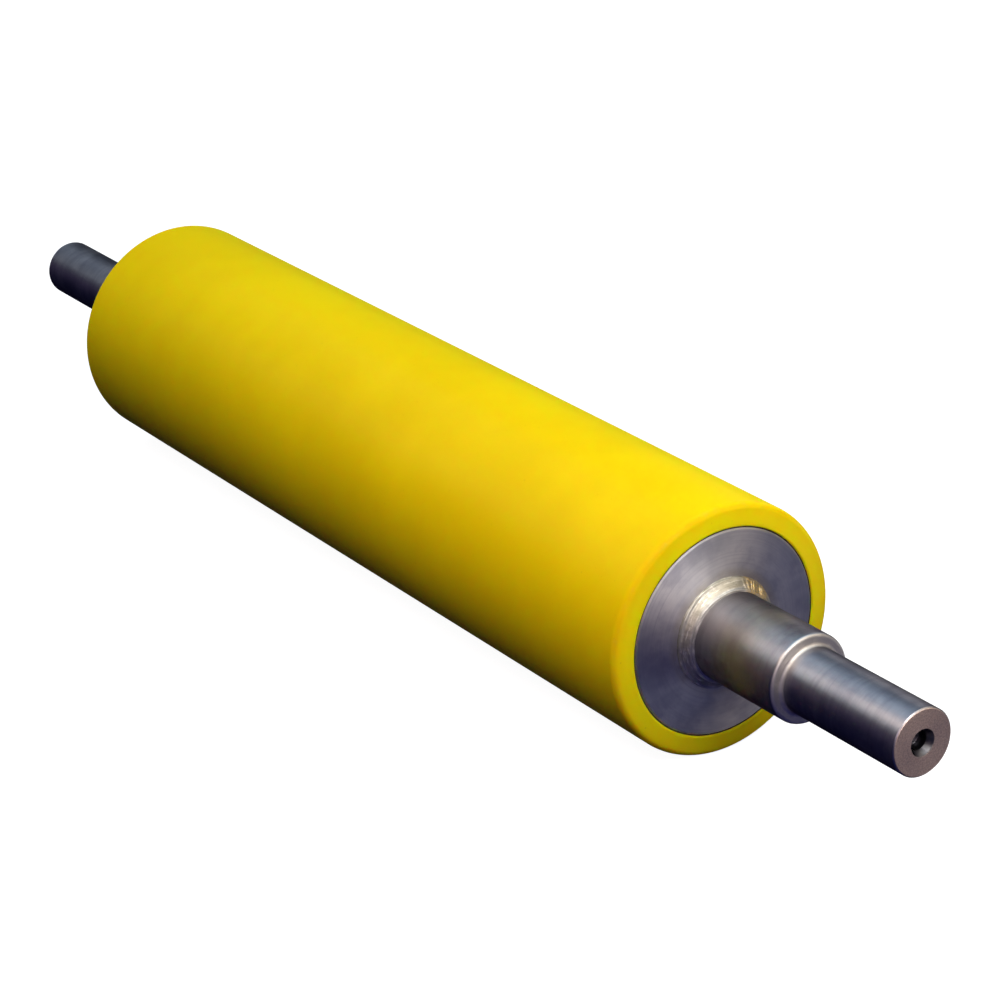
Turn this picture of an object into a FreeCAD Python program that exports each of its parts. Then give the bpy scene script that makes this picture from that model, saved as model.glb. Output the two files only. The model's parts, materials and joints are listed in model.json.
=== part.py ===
import FreeCAD, Part
import os

import Sketcher

# Conveyor roller with a cast polyurethane cover on a welded steel core and a live shaft.
# Millimetres. The roller's axis is Y, the origin is its middle, and the front end is at -Y.

DIMENSIONS = [
    ("core_diameter", 139.7, "outside diameter of the steel core tube"),
    ("core_wall", 8.0, "wall of the core tube"),
    ("core_seat_step", 1.65, "how far a disc's seat is bored into the tube's wall"),
    ("core_rim_chamfer", 1.0, "edge break on the tube's outer end edges"),
    ("face_length", 720.0, "length of the covered face, end to end"),
    ("bond_thickness", 1.0, "bonding coat between tube and cover"),
    ("bond_recess", 1.0, "how far the coat stops short of each end face"),
    ("cover_thickness", 15.0, "wall of the polyurethane cover"),
    ("cover_edge_chamfer", 2.5, "edge break on the cover's outer end edges"),
    ("cover_bore_chamfer", 0.6, "edge break on the cover's bore"),
    ("disc_thickness", 20.0, "thickness of each end disc"),
    ("disc_fit", 0.05, "radial clearance of a disc in its seat and on the shaft"),
    ("disc_edge_chamfer", 0.5, "edge break on the disc's inner face"),
    ("rim_bevel", 5.0, "leg of the weld bevel on the disc's rim"),
    ("shaft_diameter", 60.0, "body of the shaft"),
    ("journal_diameter", 45.0, "bearing journal"),
    ("shoulder_distance", 85.0, "from an end face to the journal's shoulder"),
    ("journal_length", 105.0, "from the shoulder to the shaft's end"),
    ("shoulder_radius", 2.5, "rounding of the shoulder's outer edge"),
    ("journal_root_radius", 2.5, "fillet in the journal's inner corner"),
    ("journal_chamfer", 1.0, "chamfer on the shaft's ends"),
    ("centre_mouth_diameter", 18.1, "mouth of the centre hole"),
    ("centre_cone_angle", 60.0, "included angle of the centre, in degrees"),
    ("centre_relief_diameter", 13.0, "clearance bore behind the centre's cone"),
    ("centre_relief_depth", 9.5, "from the shaft's end to the start of the tapped bore"),
    ("tap_diameter", 10.2, "core bore of the tapped hole"),
    ("tap_depth", 28.0, "from the shaft's end to the last full thread"),
    ("drill_run_out", 9.0, "drilled length past the last full thread"),
    ("drill_point_angle", 118.0, "included angle of the drill point, in degrees"),
    ("outer_weld_leg", 8.0, "leg of the fillet weld outside each disc"),
    ("inner_weld_leg", 6.0, "leg of the fillet weld inside each disc"),
]

# Sizes that follow from the ones above. The two roundings at the shoulder share its step.
DERIVED = [
    ("core_radius", "core_diameter / 2"),
    ("core_bore_radius", "core_radius - core_wall"),
    ("core_seat_radius", "core_bore_radius + core_seat_step"),
    ("coat_radius", "core_radius + bond_thickness"),
    ("cover_radius", "coat_radius + cover_thickness"),
    ("half_face", "face_length / 2"),
    ("coat_end", "half_face - bond_recess"),
    ("disc_radius", "core_seat_radius - disc_fit"),
    ("disc_inside", "half_face - disc_thickness"),
    ("shaft_radius", "shaft_diameter / 2"),
    ("disc_bore_radius", "shaft_radius + disc_fit"),
    ("journal_radius", "journal_diameter / 2"),
    ("shoulder_station", "half_face + shoulder_distance"),
    ("shaft_end", "shoulder_station + journal_length"),
    ("shoulder_step", "shaft_radius - journal_radius"),
    ("shoulder_round", "min(shoulder_radius; 0.45 * shoulder_step)"),
    ("journal_root", "min(journal_root_radius; 0.45 * shoulder_step)"),
    ("mouth_radius", "centre_mouth_diameter / 2"),
    ("relief_radius", "centre_relief_diameter / 2"),
    ("tap_radius", "tap_diameter / 2"),
    ("cone_depth", "(mouth_radius - relief_radius) / tan(centre_cone_angle * 1deg / 2)"),
    ("drill_depth", "tap_depth + drill_run_out"),
    ("drill_point", "tap_radius / tan(drill_point_angle * 1deg / 2)"),
]

doc = FreeCAD.newDocument("conveyor_roller")


def make_sheet():
    """Write the driving and the derived sizes into the document's spreadsheet."""
    table = doc.addObject("Spreadsheet::Sheet", "dims")
    row = 1
    for alias, number, note in DIMENSIONS:
        table.set(f"A{row}", note)
        table.set(f"B{row}", str(number))
        table.setAlias(f"B{row}", alias)
        row += 1
    for alias, formula in DERIVED:
        table.set(f"A{row}", alias.replace("_", " "))
        table.set(f"B{row}", "=" + formula)
        table.setAlias(f"B{row}", alias)
        row += 1
    doc.recompute()
    return table


sheet = make_sheet()


def value(expression):
    """Number that an expression on the sheet gives now."""
    return float(sheet.evalExpression(expression.replace("dims.", "")))


def new_body(label):
    """Empty body whose label names the piece."""
    body = doc.addObject("PartDesign::Body", label)
    body.Label = label
    return body


def origin_plane(body, role):
    """One of the body's own origin planes."""
    for item in body.Origin.OriginFeatures:
        if item.Role == role:
            return item
    raise RuntimeError(f"{body.Label} has no {role}")


def new_sketch(body, name, role):
    """Sketch on one of the body's own origin planes."""
    sketch = body.newObject("Sketcher::SketchObject", name)
    sketch.AttachmentSupport = (origin_plane(body, role), [""])
    sketch.MapMode = "FlatFace"
    return sketch


def place_corner(sketch, line, axis, expression):
    """Tie the first point of a line to the sketch's own axis or to a size on the sheet."""
    if expression == "0":
        own_axis = -2 if axis == "X" else -1
        sketch.addConstraint(Sketcher.Constraint("PointOnObject", line, 1, own_axis))
        return
    rule = Sketcher.Constraint(f"Distance{axis}", -1, 1, line, 1, value(expression))
    index = sketch.addConstraint(rule)
    sketch.setExpression(f"Constraints[{index}]", expression)


def half_section(body, name, corners):
    """Closed outline of radius and station pairs, drawn beside the roller's axis."""
    sketch = new_sketch(body, name, "XY_Plane")
    points = [FreeCAD.Vector(value(radius), value(station), 0) for radius, station in corners]
    count = len(points)
    for i in range(count):
        sketch.addGeometry(Part.LineSegment(points[i], points[(i + 1) % count]))
    for i in range(count):
        sketch.addConstraint(Sketcher.Constraint("Coincident", i, 2, (i + 1) % count, 1))
    for i, (radius, station) in enumerate(corners):
        last_radius, last_station = corners[i - 1]
        if i > 0 and radius == last_radius:
            sketch.addConstraint(Sketcher.Constraint("Vertical", i - 1))
        else:
            place_corner(sketch, i, "X", radius)
        if i > 0 and station == last_station:
            sketch.addConstraint(Sketcher.Constraint("Horizontal", i - 1))
        else:
            place_corner(sketch, i, "Y", station)
    return sketch


def annulus(body, name, outer, inner):
    """Two circles about the roller's axis."""
    sketch = new_sketch(body, name, "XZ_Plane")
    for radius in (outer, inner):
        circle = Part.Circle(FreeCAD.Vector(0, 0, 0), FreeCAD.Vector(0, 0, 1), value(radius))
        ring = sketch.addGeometry(circle)
        sketch.addConstraint(Sketcher.Constraint("Coincident", ring, 3, -1, 1))
        index = sketch.addConstraint(Sketcher.Constraint("Radius", ring, value(radius)))
        sketch.setExpression(f"Constraints[{index}]", radius)
    return sketch


def turn(body, sketch, kind, name):
    """Full turn of a half section about the roller's axis, added or cut away."""
    feature = body.newObject(f"PartDesign::{kind}", name)
    feature.Profile = sketch
    feature.ReferenceAxis = (sketch, ["V_Axis"])
    feature.Angle = 360
    doc.recompute()
    return feature


def repeat_at_rear(body, name, cut):
    """Mirror a cut in the front end to the rear end, and see that both took the same away."""
    before = cut.getBaseObject().Shape.Volume
    feature = body.newObject("PartDesign::Mirrored", name)
    feature.Originals = [cut]
    feature.MirrorPlane = (origin_plane(body, "XZ_Plane"), [""])
    body.Tip = feature
    doc.recompute()
    front = before - cut.Shape.Volume
    both = before - feature.Shape.Volume
    if front <= 0 or abs(both - 2 * front) > 1e-3 * front:
        raise RuntimeError(f"{cut.Label} is not the same at both ends")
    return feature


def rings(feature, radius, stations):
    """Names of a feature's circular edges at a radius and at some stations."""
    names = []
    for number, edge in enumerate(feature.Shape.Edges, start=1):
        if not isinstance(edge.Curve, Part.Circle):
            continue
        on_radius = abs(edge.Curve.Radius - radius) < 1e-4
        on_station = min(abs(edge.Curve.Center.y - station) for station in stations) < 1e-4
        if on_radius and on_station:
            names.append(f"Edge{number}")
    if not names:
        raise RuntimeError(f"{feature.Label} has no edge of radius {radius}")
    return names


def dress(body, kind, name, radius, stations, amount):
    """Fillet or chamfer on circular edges of the body's last feature."""
    base = body.Tip
    edges = rings(base, value(radius), [value(station) for station in stations])
    feature = body.newObject(f"PartDesign::{kind}", name)
    feature.Base = (base, edges)
    feature.setExpression("Radius" if kind == "Fillet" else "Size", amount)
    doc.recompute()
    return feature


def stand_at(body, station, turned):
    """Place a piece along the axis, turned end for end where asked."""
    half_turn = FreeCAD.Rotation(FreeCAD.Vector(0, 0, 1), 180 if turned else 0)
    body.Placement = FreeCAD.Placement(FreeCAD.Vector(0, 0, 0), half_turn)
    body.setExpression("Placement.Base.y", station)


FACES = ("-dims.half_face", "dims.half_face")
INSIDES = ("-dims.disc_inside", "dims.disc_inside")
SHOULDERS = ("-dims.shoulder_station", "dims.shoulder_station")
SHAFT_ENDS = ("-dims.shaft_end", "dims.shaft_end")


def make_cover():
    """Cast polyurethane sleeve, faced at both ends, with its edges broken."""
    body = new_body("polyurethane_cover")
    wall = half_section(
        body,
        "cover_wall",
        [
            ("dims.coat_radius", "-dims.half_face"),
            ("dims.cover_radius", "-dims.half_face"),
            ("dims.cover_radius", "dims.half_face"),
            ("dims.coat_radius", "dims.half_face"),
        ],
    )
    turn(body, wall, "Revolution", "cover_casting")
    dress(body, "Chamfer", "cover_edges", "dims.cover_radius", FACES, "dims.cover_edge_chamfer")
    dress(body, "Chamfer", "bore_edges", "dims.coat_radius", FACES, "dims.cover_bore_chamfer")
    return body


def make_coat():
    """Bonding coat that ends a little short of the end faces."""
    body = new_body("bond_coat")
    wall = half_section(
        body,
        "coat_wall",
        [
            ("dims.core_radius", "-dims.coat_end"),
            ("dims.coat_radius", "-dims.coat_end"),
            ("dims.coat_radius", "dims.coat_end"),
            ("dims.core_radius", "dims.coat_end"),
        ],
    )
    turn(body, wall, "Revolution", "coat_layer")
    return body


def make_core():
    """Steel tube, bored at each end to a seat whose step stops the disc."""
    body = new_body("core_tube")
    tube = body.newObject("PartDesign::Pad", "tube_stock")
    tube.Profile = annulus(body, "tube_section", "dims.core_radius", "dims.core_bore_radius")
    tube.SideType = "Symmetric"
    tube.setExpression("Length", "dims.face_length")
    doc.recompute()
    seat = half_section(
        body,
        "front_seat_outline",
        [
            ("0", "-dims.half_face"),
            ("dims.core_seat_radius", "-dims.half_face"),
            ("dims.core_seat_radius", "-dims.disc_inside"),
            ("0", "-dims.disc_inside"),
        ],
    )
    bore = turn(body, seat, "Groove", "front_seat")
    repeat_at_rear(body, "rear_seat", bore)
    dress(body, "Chamfer", "rim_edges", "dims.core_radius", FACES, "dims.core_rim_chamfer")
    return body


def make_disc(label, station, turned):
    """End disc with its outer face on its own XZ plane and a bevelled rim for the weld."""
    body = new_body(label)
    plate = body.newObject("PartDesign::Pad", label + "_plate")
    plate.Profile = annulus(body, label + "_section", "dims.disc_radius", "dims.disc_bore_radius")
    plate.Reversed = True
    plate.setExpression("Length", "dims.disc_thickness")
    doc.recompute()
    rim = "dims.disc_radius"
    dress(body, "Chamfer", label + "_bevel", rim, ["0"], "dims.rim_bevel")
    inner_face = ["dims.disc_thickness"]
    dress(body, "Chamfer", label + "_edge", rim, inner_face, "dims.disc_edge_chamfer")
    stand_at(body, station, turned)
    return body


def make_rim_weld(label, station, turned):
    """Weld that fills the bevel between disc and tube, flush with the end face."""
    body = new_body(label)
    groove = half_section(
        body,
        label + "_groove",
        [
            ("dims.disc_radius - dims.rim_bevel", "0"),
            ("dims.core_seat_radius", "0"),
            ("dims.core_seat_radius", "dims.rim_bevel"),
            ("dims.disc_radius", "dims.rim_bevel"),
        ],
    )
    turn(body, groove, "Revolution", label + "_bead")
    stand_at(body, station, turned)
    return body


def make_fillet_weld(label, leg, station, turned):
    """Fillet weld in the corner between the shaft and a disc's face."""
    body = new_body(label)
    corner = half_section(
        body,
        label + "_corner",
        [
            ("dims.shaft_radius", "0"),
            (f"dims.shaft_radius + {leg}", "0"),
            ("dims.shaft_radius", f"-{leg}"),
        ],
    )
    turn(body, corner, "Revolution", label + "_bead")
    stand_at(body, station, turned)
    return body


def make_shaft():
    """Shaft turned from one bar, with a shouldered journal and a tapped centre at each end."""
    body = new_body("through_shaft")
    bar = half_section(
        body,
        "shaft_outline",
        [
            ("0", "-dims.shaft_end"),
            ("dims.journal_radius", "-dims.shaft_end"),
            ("dims.journal_radius", "-dims.shoulder_station"),
            ("dims.shaft_radius", "-dims.shoulder_station"),
            ("dims.shaft_radius", "dims.shoulder_station"),
            ("dims.journal_radius", "dims.shoulder_station"),
            ("dims.journal_radius", "dims.shaft_end"),
            ("0", "dims.shaft_end"),
        ],
    )
    turn(body, bar, "Revolution", "shaft_bar")
    hole = half_section(
        body,
        "front_centre_outline",
        [
            ("0", "-dims.shaft_end"),
            ("dims.mouth_radius", "-dims.shaft_end"),
            ("dims.relief_radius", "-dims.shaft_end + dims.cone_depth"),
            ("dims.relief_radius", "-dims.shaft_end + dims.centre_relief_depth"),
            ("dims.tap_radius", "-dims.shaft_end + dims.centre_relief_depth"),
            ("dims.tap_radius", "-dims.shaft_end + dims.drill_depth"),
            ("0", "-dims.shaft_end + dims.drill_depth + dims.drill_point"),
        ],
    )
    centre = turn(body, hole, "Groove", "front_centre")
    repeat_at_rear(body, "rear_centre", centre)
    dress(body, "Fillet", "shoulder_edges", "dims.shaft_radius", SHOULDERS, "dims.shoulder_round")
    dress(body, "Fillet", "journal_roots", "dims.journal_radius", SHOULDERS, "dims.journal_root")
    dress(body, "Chamfer", "shaft_ends", "dims.journal_radius", SHAFT_ENDS, "dims.journal_chamfer")
    return body


pieces = [
    make_cover(),
    make_coat(),
    make_core(),
    make_disc("front_end_disc", FACES[0], False),
    make_disc("rear_end_disc", FACES[1], True),
    make_rim_weld("front_rim_weld", FACES[0], False),
    make_rim_weld("rear_rim_weld", FACES[1], True),
    make_shaft(),
    make_fillet_weld("front_shaft_weld", "dims.outer_weld_leg", FACES[0], False),
    make_fillet_weld("rear_shaft_weld", "dims.outer_weld_leg", FACES[1], True),
    make_fillet_weld("front_inner_weld", "dims.inner_weld_leg", INSIDES[0], True),
    make_fillet_weld("rear_inner_weld", "dims.inner_weld_leg", INSIDES[1], False),
]
doc.recompute()

for item in doc.Objects:
    if "Invalid" in item.State or "Error" in item.State:
        raise RuntimeError(f"{item.Label} did not build: {item.State}")
for piece in pieces:
    if piece.Shape.isNull() or not piece.Shape.isValid() or len(piece.Shape.Solids) != 1:
        raise RuntimeError(f"{piece.Label} is not one sound solid")

os.makedirs("parts", exist_ok=True)
for piece in pieces:
    piece.Shape.exportStep(f"parts/{piece.Label}.step")
    box = piece.Shape.BoundBox
    print(f"{piece.Label}: {piece.Shape.Volume:.0f} mm3, y {box.YMin:.2f} to {box.YMax:.2f}")
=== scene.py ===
import json
import math
from functools import cached_property

import bmesh
import bpy
import numpy as np
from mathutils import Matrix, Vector


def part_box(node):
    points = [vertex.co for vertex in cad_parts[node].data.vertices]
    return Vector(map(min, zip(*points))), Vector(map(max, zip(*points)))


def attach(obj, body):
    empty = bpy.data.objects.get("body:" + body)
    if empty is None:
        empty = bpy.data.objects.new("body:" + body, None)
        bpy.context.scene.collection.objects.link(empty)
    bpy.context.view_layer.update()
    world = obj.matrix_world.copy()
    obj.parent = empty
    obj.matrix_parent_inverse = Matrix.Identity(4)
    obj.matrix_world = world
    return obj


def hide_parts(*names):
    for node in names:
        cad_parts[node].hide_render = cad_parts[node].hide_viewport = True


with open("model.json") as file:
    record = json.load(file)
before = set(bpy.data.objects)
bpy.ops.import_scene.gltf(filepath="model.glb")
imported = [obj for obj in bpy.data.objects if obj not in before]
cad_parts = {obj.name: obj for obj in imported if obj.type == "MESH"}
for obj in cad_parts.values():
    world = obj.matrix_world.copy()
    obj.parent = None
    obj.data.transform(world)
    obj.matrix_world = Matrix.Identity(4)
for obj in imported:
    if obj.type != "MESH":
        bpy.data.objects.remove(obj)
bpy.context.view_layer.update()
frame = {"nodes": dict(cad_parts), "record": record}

# Metres in a millimetre, and the mm by which two equal sizes may differ
MM = 0.001
SAME = 1e-6

ENDS = (("front", -1.0), ("rear", 1.0))
MOUNTS = {mount["name"]: mount for mount in frame["record"]["mounts"]}


def radius_of(node):
    """A turned node's outer radius in mm."""
    return round(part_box(node)[1].x / MM, 3)


def length_of(node):
    """A node's length along the roller's axis in mm."""
    low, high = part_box(node)
    return round((high.y - low.y) / MM, 3)


# Sizes in mm that the frame gives
FACE = length_of("polyurethane_cover") / 2
END = length_of("through_shaft") / 2
SHOULDER = round(abs(MOUNTS["front_shoulder"]["pos_m"][1]) / MM, 3)
COVER_R = radius_of("polyurethane_cover")
COVER_BORE = radius_of("bond_coat")
TUBE_R = radius_of("core_tube")
TUBE_SEAT = radius_of("front_rim_weld")
DISC_R = radius_of("front_end_disc")
DISC_THICK = length_of("front_end_disc")
BEVEL = length_of("front_rim_weld")
SHAFT_R = radius_of("through_shaft")
JOURNAL_R = MOUNTS["front_journal"]["dims"]["r_mm"]
TAP_R = MOUNTS["front_tapped_centre"]["dims"]["r_mm"]
WELD_LEG = length_of("front_shaft_weld")
WELD_R = SHAFT_R + WELD_LEG

# Details in mm and degrees that the frame's boxes don't show
COVER_ROUND = 5.0
COVER_SLOPE = 9.0
COVER_CHAMFER = 0.6
TUBE_WALL = 8.0
TUBE_CHAMFER = 1.0
DISC_GAP = 0.05
DISC_CHAMFER = 0.5
FACING_DEPTH = 0.02
FACING_MARK = 0.007
JOURNAL_CHAMFER = 1.0
ROOT = 2.5
MOUTH_R = 9.05
MOUTH_ANGLE = 30.0
RELIEF_R = 6.5
RELIEF_DEPTH = 9.5
DRILL_DEPTH = 37.0
DRILL_ANGLE = 59.0
PITCH = 1.75
THREAD_R = 6.0
THREAD_DEPTH = 28.0
THREAD_FROM = END - RELIEF_DEPTH
THREAD_TO = END - THREAD_DEPTH

# Distances in mm from an edge to the ring of points beside it, which keeps the edge crisp
HOLD_CLOSE = 0.2
HOLD = 0.3
HOLD_WIDE = 0.4

# A hair's breadth in mm, which keeps neighbouring points apart
HAIR = 0.01

# Where the rings across a shaft end start, and half the plain stretch at the roller's middle, in mm
END_RINGS_R = 10.0
PLAIN = 20.0

# The weld beads start and stop at this angle about the axis, in radians
WELD_START = 0.85


# Shapes
def arc(cr, cy, radius, start, stop, steps):
    """Points of a rounding in the (radius, y) half plane, angles in degrees."""
    return [
        (cr + radius * math.cos(math.radians(a)), cy + radius * math.sin(math.radians(a)))
        for a in np.linspace(start, stop, steps)
    ]


def spread(a, b, steps):
    """Points from a to b, without b."""
    return [tuple(np.array(a) + (np.array(b) - np.array(a)) * i / steps) for i in range(steps)]


def at_end(sign, half):
    """A profile drawn for the rear end, put at the end with this sign of y."""
    return [(r, sign * y) for r, y in half]


def both_ends(half):
    """A profile drawn for the rear end, run from the front end to the rear."""
    return at_end(-1.0, half) + half[::-1]


def mesh_object(name, verts, faces):
    """A smooth mesh object in the scene."""
    mesh = bpy.data.meshes.new(name)
    mesh.from_pydata(verts, [], faces)
    mesh.shade_smooth()
    obj = bpy.data.objects.new(name, mesh)
    bpy.context.scene.collection.objects.link(obj)
    return obj


def lathe(name, profile, relief=None, segments=192, sharp=28.0):
    """A solid turned about the Y axis from a profile of (radius, y) in mm.

    A profile that starts on the axis ends there too, and any other is closed into a ring.
    relief(r, y, angle) gives the moved radius and y. Edges over sharp degrees stay crisp.
    """
    p = np.array(profile, float)
    angle = np.arange(segments) * 2 * math.pi / segments
    r, a = np.meshgrid(p[:, 0], angle, indexing="ij")
    y = np.repeat(p[:, 1][:, None], segments, 1)
    if relief:
        r, y = relief(r, y, a)
    points = np.stack([r * np.cos(a), y, r * np.sin(a)], -1) * MM
    on_axis = p[:, 0] < SAME
    verts, rings = [], []
    for row, pole in zip(points, on_axis):
        first = len(verts)
        if pole:
            verts.append(tuple(row[0]))
            rings.append([first] * segments)
        else:
            verts.extend(map(tuple, row))
            rings.append(list(range(first, first + segments)))
    following = rings[1:] if on_axis[0] else rings[1:] + rings[:1]
    faces = []
    for low, high in zip(rings, following):
        for j in range(segments):
            k = (j + 1) % segments
            faces.append(list(dict.fromkeys((low[j], high[j], high[k], low[k]))))
    obj = mesh_object(name, verts, faces)
    bm = bmesh.new()
    bm.from_mesh(obj.data)
    bmesh.ops.recalc_face_normals(bm, faces=bm.faces)
    bm.to_mesh(obj.data)
    bm.free()
    obj.data.set_sharp_from_angle(angle=math.radians(sharp))
    return obj


def piece(obj, node, material):
    """The object stands for a CAD node and takes its material."""
    obj.data.materials.append(material)
    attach(obj, "root")
    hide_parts(node)


# Sockets of the Mix node that carry colours
MIX_A = 6
MIX_B = 7
MIX_RESULT = 2


# Node trees
class Tree:
    """A small builder for one material's node tree."""

    def __init__(self, name):
        self.material = bpy.data.materials.new(name)
        self.material.use_nodes = True
        self.tree = self.material.node_tree
        self.tree.nodes.clear()
        self.shader = self.add("ShaderNodeBsdfPrincipled")
        out = self.add("ShaderNodeOutputMaterial")
        self.link(self.shader.outputs[0], out.inputs["Surface"])
        self.place = self.add("ShaderNodeTexCoord").outputs["Object"]
        split = self.add("ShaderNodeSeparateXYZ")
        self.link(self.place, split.inputs[0])
        self.x, self.y, self.z = split.outputs

    def add(self, kind, **settings):
        node = self.tree.nodes.new(kind)
        for key, value in settings.items():
            setattr(node, key, value)
        return node

    def link(self, a, b):
        self.tree.links.new(a, b)

    def put(self, socket, value):
        if isinstance(value, bpy.types.NodeSocket):
            self.link(value, socket)
        else:
            socket.default_value = value

    def set(self, **values):
        """Inputs of the shader, with _ for each space in a name."""
        for key, value in values.items():
            self.put(self.shader.inputs[key.replace("_", " ")], value)

    def math(self, operation, a, b=0.0):
        node = self.add("ShaderNodeMath", operation=operation)
        for socket, value in zip(node.inputs, (a, b)):
            self.put(socket, value)
        return node.outputs[0]

    def plus(self, a, b):
        return self.math("ADD", a, b)

    def times(self, a, b):
        return self.math("MULTIPLY", a, b)

    def vector(self, x, y, z):
        node = self.add("ShaderNodeCombineXYZ")
        for socket, value in zip(node.inputs, (x, y, z)):
            self.put(socket, value)
        return node.outputs[0]

    @cached_property
    def radius(self):
        """Distance from the roller's axis."""
        node = self.add("ShaderNodeVectorMath", operation="LENGTH")
        self.link(self.vector(self.x, 0.0, self.z), node.inputs[0])
        return node.outputs["Value"]

    @cached_property
    def reach(self):
        """Distance along the axis from the roller's middle."""
        return self.math("ABSOLUTE", self.y)

    @cached_property
    def round_x(self):
        return self.math("DIVIDE", self.x, self.math("MAXIMUM", self.radius, 0.1 * MM))

    @cached_property
    def round_z(self):
        return self.math("DIVIDE", self.z, self.math("MAXIMUM", self.radius, 0.1 * MM))

    def noise(self, vector, scale, detail=3.0, rough=0.55):
        node = self.add("ShaderNodeTexNoise")
        self.link(vector, node.inputs["Vector"])
        node.inputs["Scale"].default_value = scale
        node.inputs["Detail"].default_value = detail
        node.inputs["Roughness"].default_value = rough
        return node.outputs["Fac"]

    def tool_noise(self, around, along, detail, rough=0.6, slope="ADD"):
        """Noise that follows a turned surface: slow round the axis, fast across the tool's path."""
        path = self.math(slope, self.reach, self.radius)
        turned_place = self.vector(
            self.times(self.round_x, around), self.times(path, along), self.times(self.round_z, around)
        )
        return self.noise(turned_place, 1.0, detail, rough)

    def span(self, value, low, high, to_low=0.0, to_high=1.0):
        """A smooth step from to_low to to_high as the value goes from low to high."""
        node = self.add("ShaderNodeMapRange", interpolation_type="SMOOTHSTEP", clamp=True)
        for socket, v in zip(node.inputs, (value, low, high, to_low, to_high)):
            self.put(socket, v)
        return node.outputs[0]

    def span_mm(self, place, low, high):
        """A smooth step from 0 to 1 between two places in mm."""
        return self.span(place, low * MM, high * MM)

    def mix(self, fac, a, b, how="MIX"):
        node = self.add("ShaderNodeMix", data_type="RGBA", blend_type=how)
        self.put(node.inputs[0], fac)
        for socket, value in ((node.inputs[MIX_A], a), (node.inputs[MIX_B], b)):
            self.put(socket, value if isinstance(value, bpy.types.NodeSocket) else (*value, 1.0))
        return node.outputs[MIX_RESULT]

    def bumps(self, *layers):
        """Bumps laid over each other, each a height, a strength and a depth in mm."""
        below = None
        for height, strength, depth in layers:
            node = self.add("ShaderNodeBump")
            self.link(height, node.inputs["Height"])
            node.inputs["Strength"].default_value = strength
            node.inputs["Distance"].default_value = depth * MM
            if below is not None:
                self.link(below, node.inputs["Normal"])
            below = node.outputs[0]
        self.link(below, self.shader.inputs["Normal"])

    def turned_gloss(self, amount):
        """Reflections spread across the tool's circular path."""
        node = self.add("ShaderNodeTangent", direction_type="RADIAL", axis="Y")
        self.link(node.outputs[0], self.shader.inputs["Tangent"])
        self.shader.inputs["Anisotropic Rotation"].default_value = 0.25
        self.shader.inputs["Anisotropic"].default_value = amount


# Materials
def polyurethane():
    """Cast yellow cover: cloudy and streaked, its end rings painted paler as painted highlight, rubbed at
    its edges, finely ground.
    """
    deep = (0.82, 0.572, 0.0015)
    bright = (0.89, 0.635, 0.002)
    streaked = (0.80, 0.55, 0.0015)
    # Paler colours for the cut end rings: painted highlight that stands in for the light the end rings
    # catch
    cut = (1.0, 0.78, 0.006)
    cut_streak = (0.98, 0.74, 0.006)
    rubbed = (0.70, 0.55, 0.09)
    speck = (0.45, 0.30, 0.01)
    rub_from = FACE + COVER_R - 5.85
    rub_full = FACE + COVER_R - 2.85
    t = Tree("cast polyurethane")
    cloud = t.noise(t.place, 9.0)
    streak = t.noise(t.vector(t.times(t.x, 14.0), t.times(t.y, 3.0), t.times(t.z, 14.0)), 1.0, 4.0)
    specks = t.span(t.noise(t.place, 420.0, 2.0), 0.70, 0.78)
    end = t.span_mm(t.reach, FACE - 3.0, FACE - 0.5)
    edge = t.span_mm(t.plus(t.reach, t.radius), rub_from, rub_full)
    rub = t.times(edge, t.span(t.noise(t.place, 160.0, 5.0), 0.5, 0.72))
    colour = t.mix(t.span(cloud, 0.3, 0.7), deep, bright)
    colour = t.mix(t.span(streak, 0.45, 0.75, 0.0, 0.35), colour, streaked)
    # The end rings painted paler: painted highlight where they catch the light
    colour = t.mix(end, colour, t.mix(t.span(streak, 0.4, 0.7), cut, cut_streak))
    colour = t.mix(t.times(rub, 0.3), colour, rubbed)
    colour = t.mix(t.times(specks, 0.25), colour, speck)
    rough = t.plus(t.span(cloud, 0.2, 0.8, 0.36, 0.44), t.times(rub, 0.15))
    t.set(Base_Color=colour, Roughness=rough, Metallic=0.0, IOR=1.5, Specular_IOR_Level=0.0)
    t.set(Coat_Weight=0.35, Coat_IOR=1.2, Coat_Roughness=0.3)
    t.set(Subsurface_Weight=1.0, Subsurface_Radius=(1.0, 0.5, 0.08), Subsurface_Scale=3.0 * MM)
    ground = t.tool_noise(1.1, 1600.0, 3.0)
    t.bumps((ground, 0.10, 0.2), (t.noise(t.place, 55.0), 0.06, 0.6))
    return t.material


def bond_and_gap_shade():
    """Bonding coat: dark, matt and uneven; its near-black is partly the coat's own colour and partly
    painted shade for the narrow gap between steel and cover.
    """
    # Near-black colours: the coat's own dark and painted shade in the gap
    dark = (0.018, 0.014, 0.006)
    pale = (0.06, 0.045, 0.012)
    t = Tree("bonding coat")
    uneven = t.noise(t.place, 260.0, 4.0)
    t.set(Base_Color=t.mix(t.span(uneven, 0.3, 0.7), dark, pale))
    t.set(Roughness=t.span(uneven, 0.3, 0.7, 0.5, 0.75))
    t.bumps((uneven, 0.4, 0.3))
    return t.material


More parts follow.
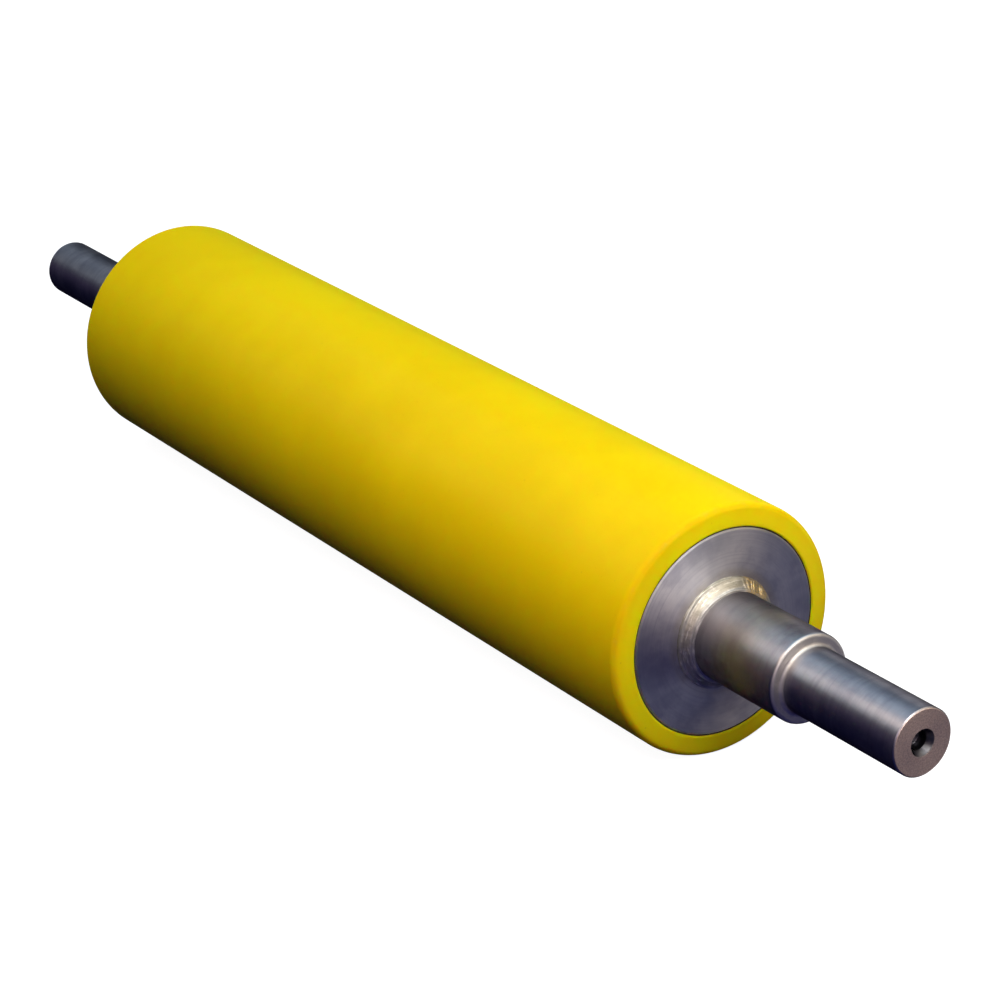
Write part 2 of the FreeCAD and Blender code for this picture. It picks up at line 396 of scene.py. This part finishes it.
def faced():
    """Faced steel ends: tool rings, smudges and wiped arcs, with a heat tint beside the weld."""
    smudged = (0.50, 0.51, 0.56)
    clean = (0.80, 0.79, 0.80)
    ringed = (0.47, 0.47, 0.53)
    blotched = (0.43, 0.43, 0.50)
    wiped = (0.79, 0.78, 0.78)
    heated = (0.52, 0.46, 0.34)
    t = Tree("faced steel")
    rings = t.tool_noise(0.8, 700.0, 4.0)
    fine = t.tool_noise(2.2, 3200.0, 2.0)
    wipes = t.tool_noise(1.6, 60.0, 3.0)
    smudge = t.noise(t.place, 17.0, 4.0, 0.6)
    blotch = t.noise(t.place, 48.0, 4.0, 0.6)
    heat = t.times(t.span_mm(t.radius, WELD_R + 8.0, WELD_R + 0.5), t.span(blotch, 0.35, 0.6, 0.3, 1.0))
    colour = t.mix(t.span(smudge, 0.32, 0.68), smudged, clean)
    colour = t.mix(t.span(rings, 0.40, 0.80, 0.0, 0.35), colour, ringed)
    colour = t.mix(t.span(blotch, 0.46, 0.68, 0.0, 0.55), colour, blotched)
    colour = t.mix(t.span(wipes, 0.50, 0.78, 0.0, 0.75), colour, wiped)
    colour = t.mix(t.times(heat, 0.45), colour, heated)
    rough = t.plus(t.span(rings, 0.2, 0.8, 0.52, 0.60), t.span(smudge, 0.3, 0.7, 0.0, 0.12))
    t.set(Base_Color=colour, Roughness=rough, Metallic=1.0)
    t.turned_gloss(0.68)
    t.bumps((blotch, 0.16, 1.0), (rings, 0.08, 0.2), (fine, 0.10, 0.08))
    return t.material


def turned():
    """Turned shaft: tool marks, stained body, dark journals, worn shoulders, scratched ends, holes painted
    dark as painted shade.
    """
    dull = (0.40, 0.40, 0.43)
    clean = (0.56, 0.55, 0.56)
    banded = (0.31, 0.30, 0.34)
    journal_shade = (0.76, 0.77, 0.79)
    stained = (0.20, 0.17, 0.19)
    worn = (0.80, 0.76, 0.70)
    end_dark = (0.62, 0.48, 0.41)
    end_pale = (0.80, 0.65, 0.56)
    scratched = (0.42, 0.36, 0.35)
    # Colours for the tapped holes: painted shade for the recess
    hole_shade_dark = (0.10, 0.10, 0.11)
    hole_shade_pale = (0.20, 0.20, 0.21)
    t = Tree("turned steel")
    marks = t.tool_noise(1.2, 2600.0, 3.0, rough=0.65)
    bands = t.tool_noise(0.7, 210.0, 4.0)
    blotch = t.noise(t.place, 38.0, 5.0, 0.6)
    grain = t.noise(t.place, 900.0)
    stain = t.span(t.noise(t.place, 30.0, 5.0, 0.65), 0.45, 0.70)
    wear = t.span(t.noise(t.place, 120.0, 5.0, 0.65), 0.42, 0.64)
    aslant = t.times(t.plus(t.x, t.z), 260.0)
    cross = t.times(t.math("SUBTRACT", t.z, t.x), 1500.0)
    scratch = t.noise(t.vector(aslant, 0.0, cross), 1.0, 3.0, 0.6)

    # Where each part of the shaft is
    body = t.span_mm(t.reach, SHOULDER - 2.0, SHOULDER - 5.0)
    step_in = t.span_mm(t.reach, SHOULDER - 2.2, SHOULDER - 0.6)
    step_out = t.span_mm(t.reach, SHOULDER + 3.2, SHOULDER + 1.4)
    step = t.times(step_in, step_out)
    end = t.span_mm(t.reach, END - 0.6, END - 0.1)
    mouth = t.span_mm(t.radius, MOUTH_R + 0.25, MOUTH_R - 0.25)
    # Where the painted shade of the tapped holes goes
    hole = t.times(mouth, t.span_mm(t.reach, END - 60.0, END - 50.0))

    # Their colours and gloss
    colour = t.mix(t.span(blotch, 0.3, 0.7), dull, clean)
    colour = t.mix(t.span(bands, 0.42, 0.72, 0.0, 0.40), colour, banded)
    colour = t.mix(body, t.mix(1.0, colour, journal_shade, "MULTIPLY"), colour)
    colour = t.mix(t.times(body, t.plus(t.times(stain, 0.55), 0.30)), colour, stained)
    colour = t.mix(t.times(step, t.plus(t.times(wear, 0.25), 0.65)), colour, worn)
    skin = t.mix(t.span(grain, 0.35, 0.65), end_dark, end_pale)
    colour = t.mix(end, colour, t.mix(t.span(scratch, 0.50, 0.70, 0.0, 0.5), skin, scratched))
    # The tapped holes painted dark: painted shade in the recess
    colour = t.mix(hole, colour, t.mix(t.span(blotch, 0.4, 0.6), hole_shade_dark, hole_shade_pale))
    rough = t.span(marks, 0.2, 0.8, 0.30, 0.38)
    for part, more in ((stain, 0.06), (end, 0.30), (step, 0.18), (body, 0.02)):
        rough = t.plus(rough, t.times(part, more))
    t.set(Base_Color=colour, Roughness=rough, Metallic=1.0, Specular_Tint=(0.10, 0.08, 0.11, 1.0))
    t.turned_gloss(0.12)
    t.bumps((marks, 0.09, 0.08), (t.times(grain, end), 0.35, 0.3), (grain, 0.05, 0.1))
    return t.material


def weld():
    """Weld metal: streaked along the bead, paler in two bands, golden where it starts."""
    dark = (0.36, 0.34, 0.27)
    pale = (0.53, 0.50, 0.41)
    crest_dark = (0.48, 0.46, 0.37)
    crest_pale = (0.60, 0.59, 0.51)
    head_dark = (0.47, 0.46, 0.42)
    head_pale = (0.60, 0.59, 0.56)
    sooty = (0.24, 0.22, 0.18)
    bright = (0.86, 0.84, 0.76)
    golden = (0.74, 0.55, 0.24)
    t = Tree("weld metal")
    blotch = t.noise(t.place, 70.0, 4.0)
    grain = t.noise(t.place, 520.0, 4.0, 0.6)
    streaks = t.tool_noise(2.0, 800.0, 3.0, slope="SUBTRACT")
    flecks = t.tool_noise(4.0, 420.0, 3.0, slope="SUBTRACT")
    patches = t.span(blotch, 0.4, 0.6)
    across = t.math("DIVIDE", t.math("SUBTRACT", t.reach, FACE * MM), WELD_LEG * MM)
    crest = t.times(t.span(across, 0.0, 0.10), t.span(across, 0.42, 0.26))
    ahead = t.plus(t.times(t.round_x, math.cos(WELD_START)), t.times(t.round_z, math.sin(WELD_START)))
    gold = t.times(t.span(ahead, 0.90, 0.985), t.span(grain, 0.35, 0.6, 0.35, 1.0))
    colour = t.mix(t.span(blotch, 0.35, 0.65), dark, pale)
    colour = t.mix(crest, colour, t.mix(patches, crest_dark, crest_pale))
    colour = t.mix(t.span(across, 0.66, 0.82), colour, t.mix(patches, head_dark, head_pale))
    colour = t.mix(t.span(streaks, 0.45, 0.75, 0.0, 0.6), colour, sooty)
    colour = t.mix(t.span(flecks, 0.50, 0.68, 0.0, 0.7), colour, bright)
    colour = t.mix(gold, colour, golden)
    t.set(Base_Color=colour, Roughness=t.span(grain, 0.25, 0.75, 0.40, 0.60), Metallic=1.0)
    t.bumps((grain, 0.25, 0.2))
    return t.material


PU = polyurethane()
BOND_AND_GAP_SHADE = bond_and_gap_shade()
FACED = faced()
TURNED = turned()
WELD = weld()


# Cover
def cover():
    """The cast cover, its end rings slightly sloped and its edges rounded."""
    slope = math.radians(COVER_SLOPE)
    inner = COVER_BORE + 3 * COVER_CHAMFER
    outer = COVER_R - COVER_ROUND
    fall = (outer - inner) * math.tan(slope) + COVER_ROUND / math.cos(slope)
    rim = arc(outer, FACE - fall, COVER_ROUND, 90 - COVER_SLOPE, 0, 13)
    slope_from = (inner, FACE - HAIR)
    slope_to = (rim[0][0] - HOLD, rim[0][1] + 2 * HAIR)
    side_from = (COVER_R, rim[-1][1] - HOLD_WIDE)
    half = (
        [(COVER_BORE, FACE - COVER_CHAMFER), (COVER_BORE + COVER_CHAMFER, FACE)]
        + [(COVER_BORE + 2 * COVER_CHAMFER, FACE)]
        + spread(slope_from, slope_to, 5)
        + rim
        + spread(side_from, (COVER_R, PLAIN), 12)
    )
    piece(lathe("cast_cover", both_ends(half), segments=256), "polyurethane_cover", PU)


# Tube, discs and rim welds, faced together at each end
def facing_marks(seed, depth):
    """Heights of the rings that a facing tool leaves, as a smooth function of radius in mm."""
    made = np.random.RandomState(seed)
    knots = np.arange(0.0, 100.0, 0.45)
    heights = made.uniform(-1.0, 1.0, len(knots)) * made.choice([0.35, 0.6, 1.0], len(knots)) * depth
    return lambda r: np.interp(r, knots, heights)


tool_marks = facing_marks(seed=7, depth=FACING_MARK)


def faced_relief(r, y, a):
    """The end faces, cut back by the facing tool."""
    on_face = np.abs(np.abs(y) - FACE) < SAME
    return r, y - np.sign(y) * np.where(on_face, FACING_DEPTH + tool_marks(r), 0.0)


def tube():
    """The core tube, with a seat for a disc in each end."""
    seat_back = FACE - DISC_THICK
    bore = TUBE_R - TUBE_WALL
    edge = (TUBE_R - TUBE_CHAMFER, FACE)
    half = (
        [(TUBE_SEAT, seat_back), (TUBE_SEAT, FACE)]
        + spread((TUBE_SEAT + HOLD_CLOSE, FACE), edge, 14)
        + [edge, (TUBE_R, FACE - TUBE_CHAMFER)]
    )
    inside = [(bore, seat_back), (bore, -seat_back)]
    piece(lathe("tube", both_ends(half) + inside, faced_relief), "core_tube", FACED)


def end_disc(end, sign):
    """A disc with its rim bevelled for the weld."""
    bore = SHAFT_R + DISC_GAP
    back = FACE - DISC_THICK
    edge = (DISC_R - BEVEL, FACE)
    ring = (
        [(bore, back + DISC_CHAMFER), (bore, FACE)]
        + spread((SHAFT_R + HOLD_WIDE, FACE), edge, 64)
        + [edge, (DISC_R, FACE - BEVEL), (DISC_R, back + DISC_CHAMFER)]
        + [(DISC_R - DISC_CHAMFER, back), (bore + DISC_CHAMFER, back)]
    )
    obj = lathe(end + "_disc", at_end(sign, ring), faced_relief)
    piece(obj, end + "_end_disc", FACED)


def rim_weld(end, sign):
    """The weld in the groove between disc and tube, faced flush with both."""
    inner = DISC_R - BEVEL
    edge = (TUBE_SEAT, FACE)
    ring = (
        [(inner + HAIR, FACE)]
        + spread((inner + HOLD, FACE), edge, 11)
        + [edge, (TUBE_SEAT, FACE - BEVEL)]
    )
    obj = lathe(end + "_rim_bead", at_end(sign, ring), faced_relief)
    piece(obj, end + "_rim_weld", FACED)


# Shaft
def thread(r, y, a):
    """Right-hand thread cut into the tapped bores, fading out at both its ends."""
    depth = np.abs(y)
    inside = (np.abs(r - TAP_R) < SAME) & (depth <= THREAD_FROM) & (depth >= THREAD_TO)
    phase = (y / PITCH + a / (2 * math.pi)) % 1.0
    flank = np.clip((1.0 - 2 * np.abs(phase - 0.5)) * 1.25 - 0.12, 0.0, 1.0)
    fade_out = np.clip((THREAD_FROM - depth) / PITCH + 0.35, 0, 1)
    fade_in = np.clip((depth - THREAD_TO) / PITCH, 0, 1)
    return r + np.where(inside, (THREAD_R - TAP_R) * flank * fade_out * fade_in, 0.0), y


def tapped_centre():
    """Profile of the hole in a shaft end: drill point, tapped bore, relief and tapered mouth."""
    drill = END - DRILL_DEPTH
    point = drill - TAP_R / math.tan(math.radians(DRILL_ANGLE))
    cone = (MOUTH_R - RELIEF_R) / math.tan(math.radians(MOUTH_ANGLE))
    return (
        [(0.0, point), (TAP_R, drill)]
        + [(TAP_R, y) for y in np.arange(THREAD_TO, THREAD_FROM, PITCH / 10)]
        + [(TAP_R, THREAD_FROM), (RELIEF_R, THREAD_FROM)]
        + [(RELIEF_R, END - cone), (MOUTH_R, END)]
    )


def shaft():
    """The shaft, with a tapped centre, a journal and a rounded shoulder at each end."""
    face_from = (END_RINGS_R, END)
    face_edge = (JOURNAL_R - JOURNAL_CHAMFER - HOLD_CLOSE, END)
    chamfer_from = (JOURNAL_R - JOURNAL_CHAMFER, END)
    chamfer_to = (JOURNAL_R, END - JOURNAL_CHAMFER)
    journal_from = (JOURNAL_R, END - JOURNAL_CHAMFER - HOLD)
    journal_to = (JOURNAL_R, SHOULDER + ROOT + HOLD)
    body_from = (SHAFT_R, SHOULDER - ROOT - HOLD)
    half = (
        tapped_centre()
        + [(MOUTH_R + HOLD, END)]
        + spread(face_from, face_edge, 8)
        + [face_edge]
        + spread(chamfer_from, chamfer_to, 2)
        + [chamfer_to]
        + spread(journal_from, journal_to, 6)
        + [journal_to]
        + arc(JOURNAL_R + ROOT, SHOULDER + ROOT, ROOT, 180, 270, 9)
        + arc(SHAFT_R - ROOT, SHOULDER - ROOT, ROOT, 90, 0, 9)
        + spread(body_from, (SHAFT_R, PLAIN), 10)
    )
    piece(lathe("turned_shaft", both_ends(half), thread), "through_shaft", TURNED)


# Weld beads between shaft and discs
def hump(x, middle, width):
    """A smooth hump of height 1."""
    return np.exp(-(((x - middle) / width) ** 2))


def shaft_weld(end, sign, turn):
    """A fillet bead with a ridge along each toe, fine ripples, and a lump where it starts and stops."""
    steps = 30
    ripples = 64
    s = np.linspace(0.0, 1.0, steps)
    slant = [(WELD_R - WELD_LEG * t, FACE + WELD_LEG * t) for t in s]
    corner = (SHAFT_R, FACE)

    def bead(r, y, a):
        """Heights in mm, with t from 0 at the foot on the disc to 1 at the head on the shaft."""
        t = np.append(s, 0.5)[:, None]
        outside = np.append(np.ones(steps), 0.0)[:, None]
        b = a + turn
        wobble = 0.10 * np.sin(3 * b + 0.4) + 0.07 * np.sin(7 * b + 1.9) + 0.05 * np.sin(13 * b + 4.0)
        lump = hump((a - WELD_START + math.pi) % (2 * math.pi), math.pi, 0.30)

        # A ridge along the foot and one along the head, each wandering a little
        foot = 0.13 + 0.03 * np.sin(5 * a + turn)
        head = 0.88 + 0.02 * np.sin(4 * a + 1.0 + turn)
        ridges = (0.48 + 0.9 * wobble) * hump(t, foot, 0.085) + (0.42 - 0.7 * wobble) * hump(t, head, 0.075)

        # Curved ripples with a slow rise and a quick fall, unevenly spaced
        drift = 0.30 * np.sin(17 * a + 0.6) + 0.22 * np.sin(29 * a + 2.0) + 0.5 * (t - 0.5) * np.sin(11 * a)
        phase = (a * ripples / (2 * math.pi) + 1.3 * (t - 0.5) ** 2 + 0.9 * wobble + drift) % 1.0
        ripple = np.where(phase < 0.75, phase / 0.75, (1 - phase) / 0.25) - 0.5

        # The crown rises most at the lump, and the toes wander with the wobble
        crown = np.sin(math.pi * t) * (0.26 + 0.6 * lump + (0.06 + 0.62 * lump) * ripple)
        grow = (crown + ridges * (1 - 0.6 * lump)) * math.sqrt(0.5)
        out = grow + 0.8 * wobble * np.clip(1 - 2 * t, 0, 1)
        up = grow + 0.8 * wobble * np.clip(2 * t - 1, 0, 1)
        return r + outside * out, y + sign * outside * up

    obj = lathe(end + "_bead", at_end(sign, slant + [corner]), bead, segments=720, sharp=50.0)
    piece(obj, end + "_shaft_weld", WELD)


# The roller
cover()
tube()
for end, sign in ENDS:
    end_disc(end, sign)
    rim_weld(end, sign)
shaft()
for (end, sign), turn in zip(ENDS, (0.0, 2.1)):
    shaft_weld(end, sign, turn)
# The bond coat's material also carries painted shade for the gap
for node, material in (("bond_coat", BOND_AND_GAP_SHADE), ("front_inner_weld", WELD), ("rear_inner_weld", WELD)):
    obj = frame["nodes"][node]
    obj.data.materials.clear()
    obj.data.materials.append(material)


# Floor
def pale_floor():
    """A pale floor that sweeps up all round, in metres."""
    flat = 9.0
    sweep = 5.0
    top = 16.0
    sides = 96
    bowl = arc(flat, sweep, sweep, -90, 0, 13) + [(flat + sweep, top)]
    turns = [2 * math.pi * j / sides for j in range(sides)]
    verts = [(0.0, 0.0, 0.0)]
    for r, z in bowl:
        verts += [(r * math.cos(a), r * math.sin(a), z) for a in turns]
    faces = []
    for j in range(sides):
        k = (j + 1) % sides
        faces.append((0, 1 + j, 1 + k))
        for low in range(1, 1 + sides * (len(bowl) - 1), sides):
            faces.append((low + j, low + sides + j, low + sides + k, low + k))
    floor = mesh_object("floor", verts, faces)
    floor.location.z = -COVER_R * MM
    t = Tree("pale floor")
    t.set(Base_Color=(0.35, 0.35, 0.35, 1.0), Roughness=0.9, Specular_IOR_Level=0.0)
    t.set(Emission_Color=(1.0, 1.0, 1.0, 1.0), Emission_Strength=0.95)
    floor.data.materials.append(t.material)
    floor.visible_diffuse = False
    floor.visible_glossy = False
    floor.visible_shadow = False


pale_floor()

# Room light by height, dark below and bright above, different behind the roller and in front of it
REAR_ROOM = (
    (-0.3, (0.001, 0.001, 0.012)),
    (0.06, (0.018, 0.011, 0.034)),
    (0.4, (0.033, 0.034, 0.040)),
    (0.62, (0.027, 0.041, 0.068)),
    (0.71, (0.070, 0.082, 0.120)),
    (0.78, (0.19, 0.21, 0.30)),
    (0.92, (0.27, 0.43, 0.50)),
)
FRONT_ROOM = (
    (-0.5, (0.002, 0.003, 0.030)),
    (0.05, (0.002, 0.003, 0.016)),
    (0.3, (0.003, 0.003, 0.006)),
    (0.5, (0.006, 0.006, 0.008)),
    (0.78, (0.030, 0.030, 0.034)),
    (0.86, (0.59, 0.585, 0.555)),
)


def room_side(tree, height, stops):
    """Colours of one side of the room, from floor to ceiling."""
    share = tree.nodes.new("ShaderNodeMapRange")
    share.inputs["From Min"].default_value = -1.0
    tree.links.new(height, share.inputs[0])
    ramp = tree.nodes.new("ShaderNodeValToRGB")
    tree.links.new(share.outputs[0], ramp.inputs[0])
    elements = ramp.color_ramp.elements
    while len(elements) < len(stops):
        elements.new(0.5)
    for element, (z, colour) in zip(elements, stops):
        element.position = 0.5 + 0.5 * z
        element.color = (*colour, 1.0)
    return ramp.outputs[0]


def room():
    """The studio's own light, blended from rear to front across the roller's middle."""
    world = bpy.data.worlds.new("studio")
    bpy.context.scene.world = world
    world.use_nodes = True
    tree = world.node_tree
    tree.nodes.clear()
    background = tree.nodes.new("ShaderNodeBackground")
    background.inputs["Strength"].default_value = 2.9
    out = tree.nodes.new("ShaderNodeOutputWorld")
    tree.links.new(background.outputs[0], out.inputs["Surface"])
    split = tree.nodes.new("ShaderNodeSeparateXYZ")
    tree.links.new(tree.nodes.new("ShaderNodeTexCoord").outputs["Generated"], split.inputs[0])
    ahead = tree.nodes.new("ShaderNodeMapRange")
    ahead.interpolation_type = "SMOOTHSTEP"
    ahead.inputs["From Min"].default_value = 0.15
    ahead.inputs["From Max"].default_value = -0.15
    tree.links.new(split.outputs["Y"], ahead.inputs[0])
    blend = tree.nodes.new("ShaderNodeMix")
    blend.data_type = "RGBA"
    tree.links.new(ahead.outputs[0], blend.inputs[0])
    for socket, stops in ((blend.inputs[MIX_A], REAR_ROOM), (blend.inputs[MIX_B], FRONT_ROOM)):
        tree.links.new(room_side(tree, split.outputs["Z"], stops), socket)
    tree.links.new(blend.outputs[MIX_RESULT], background.inputs["Color"])


room()

# Soft boxes above the near end, with weak fills round the roller, in metres
MIDDLE = (0.0, 0.0, 0.0)
NEAR_FACE = (0.0, -FACE * MM, 0.0)
FAR_FACE = (0.0, FACE * MM, 0.0)


def panel(name, place, aim, width, height, radiance, colour):
    """A soft box that the camera doesn't see. Its brightness stays the same if its size changes."""
    light = bpy.data.lights.new(name, "AREA")
    light.shape = "RECTANGLE"
    light.size = width
    light.size_y = height
    light.energy = radiance * math.pi * width * height
    light.color = colour
    obj = bpy.data.objects.new(name, light)
    obj.location = place
    obj.rotation_euler = (Vector(aim) - Vector(place)).to_track_quat("-Z", "Y").to_euler()
    obj.visible_camera = False
    bpy.context.scene.collection.objects.link(obj)


panel("key", (-0.55, -0.90, 0.85), (0.0, -0.30, 0.0), 0.6, 0.6, 2.6, (1.0, 0.94, 0.86))
panel("face", (-0.10, -1.10, 0.75), NEAR_FACE, 0.5, 0.4, 6.3, (1.0, 0.92, 0.90))
panel("side", (0.35, -0.75, 0.40), NEAR_FACE, 0.4, 0.4, 1.5, (1.0, 0.84, 0.66))
panel("low", (-1.00, -1.60, 0.50), NEAR_FACE, 0.9, 0.7, 1.5, (1.0, 0.76, 0.86))
panel("left", (-0.50, -0.20, 0.60), (0.0, -0.20, 0.0), 0.4, 0.3, 3.1, (1.0, 0.66, 0.44))
panel("right", (1.50, 0.50, 0.70), MIDDLE, 1.2, 0.9, 0.8, (1.0, 0.98, 0.96))
panel("rear", (-1.20, 1.40, 1.20), MIDDLE, 1.0, 1.0, 1.15, (0.84, 0.92, 1.0))
panel("back", (-0.25, 1.20, 1.30), FAR_FACE, 1.3, 0.7, 0.7, (0.96, 0.98, 1.0))
panel("bounce", (0.95, -0.95, -0.45), NEAR_FACE, 0.6, 0.4, 0.3, (1.0, 0.96, 0.88))
panel("corner", (1.25, -0.85, -0.20), NEAR_FACE, 0.6, 0.5, 0.8, (0.85, 0.88, 1.0))

# Camera at the photograph's angle
EYE = (-1.1433, -1.8047, 0.8311)
LOOK_DOWN = 21.962
LOOK_RIGHT = 33.920

camera = bpy.data.cameras.new("camera")
camera.sensor_width = 36.0
camera.lens = 114.40
camera.clip_start = 0.01
camera.clip_end = 100.0
eye = bpy.data.objects.new("camera", camera)
eye.location = EYE
eye.rotation_euler = (math.radians(90 - LOOK_DOWN), 0.0, math.radians(-LOOK_RIGHT))
bpy.context.scene.collection.objects.link(eye)
bpy.context.scene.camera = eye
bpy.context.scene.view_settings.view_transform = "Standard"
